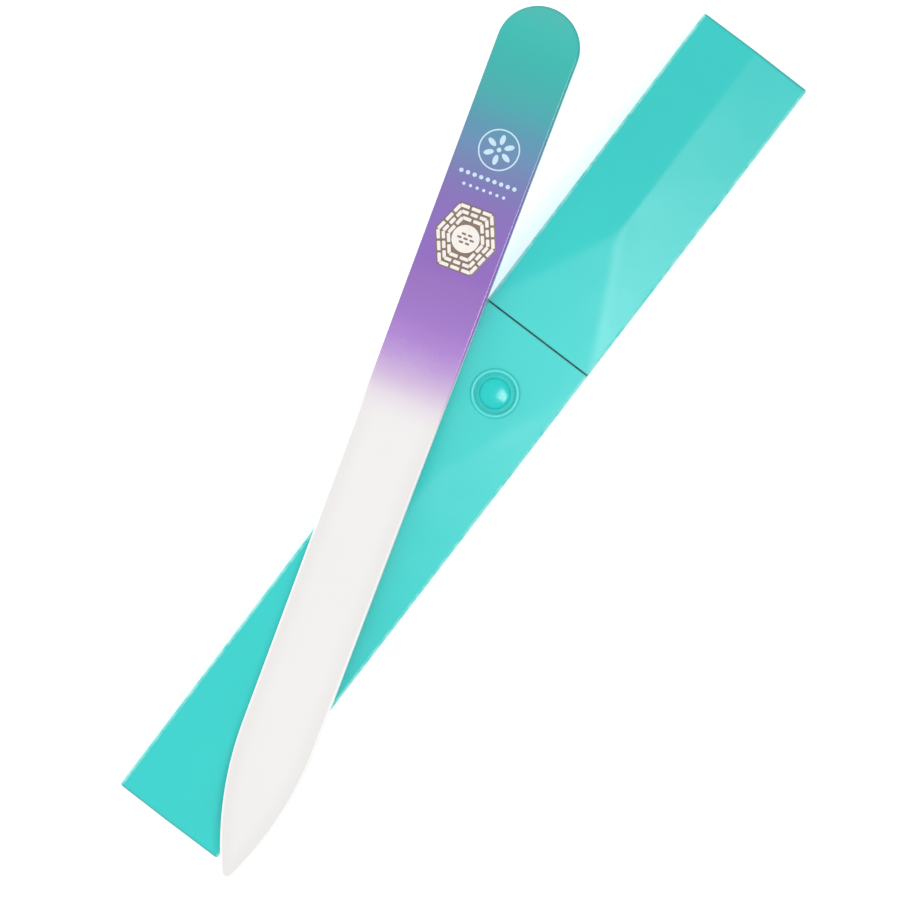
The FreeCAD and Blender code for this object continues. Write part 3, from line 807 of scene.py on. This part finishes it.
# The planes of the case's top facets as (slope along X, slope along Y, height in millimetres
# where both are 0), read from the closed case. Each plane's triangles are gathered, and the
# largest of them gives the plane.
def topPlanes():
    planes = {}
    for node in ("case_body", "case_cap"):
        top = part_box(node)[1].z
        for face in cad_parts[node].data.polygons:
            if face.normal.z > facet["level"] and face.center.z > facet["height"] * top:
                slopeX, slopeY = (-face.normal[axis] / face.normal.z for axis in (0, 1))
                height = (face.center.z - slopeX * face.center.x - slopeY * face.center.y) / mm
                key = (round(slopeX, 3), round(slopeY, 3), round(height, 1))
                planes.setdefault(key, []).append((face.area, slopeX, slopeY, height))
    large = {key: np.array(found) for key, found in planes.items()
             if sum(row[0] for row in found) > facet["leastArea"]}
    print("top facets:", len(large))
    return [tuple(found[found[:, 0].argmax(), 1:]) for found in large.values()]


# The height of the top facets in millimetres, as their planes' plain minimum, and how far
# under it the rounded ridges lie: the planes' smooth minimum less the plain one.
def roofHeight(tree, across, along):
    soft = hard = None
    for slopeX, slopeY, height in sorted(topPlanes(), key=lambda plane: -abs(plane[0])):
        plane = maths(tree, "MULTIPLY_ADD", across, slopeX / mm, height)
        plane = maths(tree, "MULTIPLY_ADD", along, slopeY / mm, plane)
        if soft is None:
            soft = hard = plane
        else:
            soft = maths(tree, "SMOOTH_MIN", soft, plane, plastic["softRidge"])
            hard = maths(tree, "MINIMUM", hard, plane)
    return hard, maths(tree, "SUBTRACT", soft, hard)


# Masks from the place on the closed case: long sides and recess rim for painted highlight, square
# ends, parting line and round recess for painted shade. Half the width at a place = at the cap's
# end + widening * (along - the end).
def caseMasks(tree, across, along, height, roof):
    bodyHigh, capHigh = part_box("case_body")[1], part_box("case_cap")[1]
    widening = (capHigh.x - bodyHigh.x) / (capHigh.y - bodyHigh.y)
    half = maths(tree, "MULTIPLY_ADD", along, widening, capHigh.x - widening * capHigh.y)
    sideways = maths(tree, "SUBTRACT", half, maths(tree, "ABSOLUTE", across))
    side = smooth(tree, sideways, *plastic["sideBand"])
    toEnd = maths(tree, "SUBTRACT", capHigh.y, maths(tree, "ABSOLUTE", along))
    end = smooth(tree, toEnd, *plastic["endShadeBand"])
    parting = (bodyHigh.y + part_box("case_cap")[0].y) / 2
    fromParting = maths(tree, "ABSOLUTE", maths(tree, "SUBTRACT", along, parting))
    seam = smooth(tree, fromParting, *plastic["seamShadeBand"])
    under = maths(tree, "SUBTRACT", roof, maths(tree, "DIVIDE", height, mm))
    topEdge = smooth(tree, under, *plastic["edgeDrop"])
    side, end = (maths(tree, "MULTIPLY", mask, topEdge) for mask in (side, end))
    fromCentre = maths(tree, "SUBTRACT", along, bodyHigh.y - recess["setback"])
    offset = addNode(tree, "ShaderNodeCombineXYZ", {0: across, 1: fromCentre}).outputs[0]
    away = addNode(tree, "ShaderNodeVectorMath", {0: offset}, operation="LENGTH")
    away = away.outputs["Value"]
    above = maths(tree, "GREATER_THAN", height, bodyHigh.z - recess["depthBelowTop"])
    hollow = smooth(tree, away, *recess["wall"])
    fromRim = maths(tree, "ABSOLUTE", maths(tree, "SUBTRACT", away, recess["rimRadius"]))
    rim = smooth(tree, fromRim, recess["rimHalf"], 0.0)
    hollow, rim = (maths(tree, "MULTIPLY", mask, above) for mask in (hollow, rim))
    return side, end, seam, hollow, rim


# one of the plastic's painted highlights and shades laid over the base by its mask
def mixIn(tree, mask, part, base):
    factor = maths(tree, "MULTIPLY", mask, plastic[part + "Mix"])
    return mix(tree, factor, base, srgb(*plastic[part + "Colour"]))


# The plastic: its colour drifts slowly, is darkened towards the cap's end by painted shade, and is
# mixed with the painted highlights and shades by their masks; its relief = grain + sinks + the
# rounding of the ridges.
def makeCasePlastic(name, colour):
    material, tree, sockets = newMaterial(name, {
        "IOR": refraction, "Subsurface Weight": plastic["glowThrough"],
        "Subsurface Scale": plastic["glowDepth"]})
    place = objectPlace(tree)
    across, along, height = addNode(tree, "ShaderNodeSeparateXYZ", {0: place}).outputs
    roof, rounding = roofHeight(tree, across, along)
    side, end, seam, hollow, rim = caseMasks(tree, across, along, height, roof)
    drift = fromGroup(tree, driftGroup, place,
                      Scale=plastic["driftScale"], Amount=plastic["drift"])
    # painted shade: deeper colour inside the recess
    base = mix(tree, hollow, srgb(*colour), srgb(*plastic["recessShadeColour"]))
    # painted highlight: paler colour round the recess rim
    base = mixIn(tree, rim, "rim", base)
    # painted shade: darker towards the cap's end
    capEndShade = smooth(tree, along, plastic["capEndShadeFrom"], plastic["capEndShadeTo"])
    base = toned(tree, base, maths(tree, "MULTIPLY_ADD", capEndShade, plastic["capEndShadeTone"], drift))
    # painted highlight: paler patches along the long sides, where the rounded edges catch the
    # light
    highlightPatches = fromGroup(tree, driftGroup, place, Scale=plastic["highlightPatchScale"], Amount=1.0)
    rubbed = maths(tree, "MULTIPLY", side, smooth(tree, highlightPatches, *plastic["highlightPatchRange"]))
    # painted highlight along the long sides, painted shade along the square ends and the parting
    # line
    for mask, part in ((rubbed, "rubbed"), (end, "end"), (seam, "seam")):
        base = mixIn(tree, mask, part, base)
    tree.links.new(base, sockets["Base Color"])
    rough = fromGroup(tree, driftGroup, place,
                      Scale=plastic["handledScale"], Amount=plastic["handled"])
    rough = maths(tree, "ADD", rough, plastic["roughness"])
    rough = maths(tree, "MULTIPLY_ADD", hollow, plastic["recessRoughness"], rough)
    rough = maths(tree, "MULTIPLY_ADD", rubbed, plastic["edgeHighlightRoughness"], rough, clamp=True)
    tree.links.new(rough, sockets["Roughness"])
    grain = fromGroup(tree, grainGroup, place,
                      Scale=plastic["grainScale"], Coarse=plastic["grainCoarse"])
    sink = fromGroup(tree, driftGroup, place,
                     Scale=plastic["sinkScale"], Amount=plastic["sinkHeight"])
    relief = maths(tree, "MULTIPLY_ADD", grain, plastic["grainHeight"], sink)
    outside = maths(tree, "SUBTRACT", 1.0, hollow)
    relief = maths(tree, "MULTIPLY_ADD", rounding, outside, relief)
    tree.links.new(bump(tree, relief), sockets["Normal"])
    return material


# one material for all of a piece
def dress(material, *pieces):
    for piece in pieces:
        piece.data.materials.clear()
        piece.data.materials.append(material)


dress(makeEtchedGlass(), glassPlate)
dress(makeSprayedPaint(), sprayedColour)
dress(makeThinLayer("whiteInk", whiteInk), whitePrint, whitePrintRing)
dress(makeThinLayer("brownFoil", brownFoil), foilSticker, foilBars)
dress(makeThinLayer("paleFoil", paleFoil), foilMarks)
casePlastic = makeCasePlastic("casePlastic", plastic["colour"])
neckPlastic = makeCasePlastic("neckPlastic", plastic["neckColour"])
for node, material in (("case_body", casePlastic), ("case_cap", casePlastic),
                       ("neck_sleeve", neckPlastic)):
    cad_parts[node].material_slots[0].material = material
print("materials made")


# camera straight above, turned so that the case runs up to the right
shot = {
    "turn": math.radians(37.36),
    "centre": (-0.23 * mm, -2.63 * mm),
    "height": 0.8,
    "subjectHeight": 9.6 * mm,
    "fieldAcross": 131 * mm,
    "sensor": 36.0,
    "clipStart": 0.01,
}


# lens = sensor * distance to the subject / width of the field there
def makeCamera():
    data = bpy.data.cameras.new("shotCamera")
    data.sensor_width = shot["sensor"]
    data.lens = shot["sensor"] * (shot["height"] - shot["subjectHeight"]) / shot["fieldAcross"]
    data.clip_start = shot["clipStart"]
    camera = bpy.data.objects.new("shotCamera", data)
    camera.location = (*shot["centre"], shot["height"])
    camera.rotation_euler = (0, 0, shot["turn"])
    bpy.context.scene.collection.objects.link(camera)
    bpy.context.scene.camera = camera


# soft studio light: one level panel past the case's right-hand side, and a white room that
# is a little brighter towards the case's left side and lower end
studio = {
    "panelHeight": 0.6,
    "panelCentre": (0.235, 0.1),   # over the panel's height, so as slopes
    "panelSize": (0.35, 0.22),
    "panelRadiance": 8.0,
    "roomStrength": 0.935,
    "roomTurn": (-0.2, -0.22, 0.0),
    "floorSize": 3.0, "floorGrey": 0.8, "floorRoughness": 0.9, "floorGlow": 0.5,
}


# the panel's power = radiance * pi * its area; the room's strength = strength * (1 + the
# direction's dot product with its turn)
def makeStudio():
    scene = bpy.context.scene
    height = studio["panelHeight"]
    panel = bpy.data.lights.new("softPanel", "AREA")
    panel.shape = "RECTANGLE"
    panel.size, panel.size_y = (height * size for size in studio["panelSize"])
    panel.energy = studio["panelRadiance"] * math.pi * panel.size * panel.size_y
    lamp = bpy.data.objects.new("softPanel", panel)
    lamp.location = (*(height * slope for slope in studio["panelCentre"]), height)
    scene.collection.objects.link(lamp)

    world = bpy.data.worlds.new("whiteRoom")
    world.use_nodes = True
    room = world.node_tree
    towards = addNode(room, "ShaderNodeTexCoord").outputs["Generated"]
    turned = addNode(room, "ShaderNodeVectorMath", {0: towards, 1: studio["roomTurn"]},
                     operation="DOT_PRODUCT").outputs["Value"]
    strength = maths(room, "MULTIPLY_ADD", turned, studio["roomStrength"], studio["roomStrength"])
    room.nodes["Background"].inputs["Color"].default_value = (1, 1, 1, 1)
    room.links.new(strength, room.nodes["Background"].inputs["Strength"])
    scene.world = world
    scene.view_settings.view_transform = "Standard"

    half = studio["floorSize"] / 2
    mesh = bpy.data.meshes.new("floor")
    mesh.from_pydata([(-half, -half, 0), (half, -half, 0), (half, half, 0), (-half, half, 0)],
                     [], [(0, 1, 2, 3)])
    floor = bpy.data.objects.new("floor", mesh)
    scene.collection.objects.link(floor)
    grey = (studio["floorGrey"],) * 3
    material = newMaterial("paleFloor", {
        "Base Color": (*grey, 1), "Roughness": studio["floorRoughness"],
        "Emission Color": (1, 1, 1, 1), "Emission Strength": studio["floorGlow"]})[0]
    dress(material, floor)


makeCamera()
makeStudio()
print("studio made")
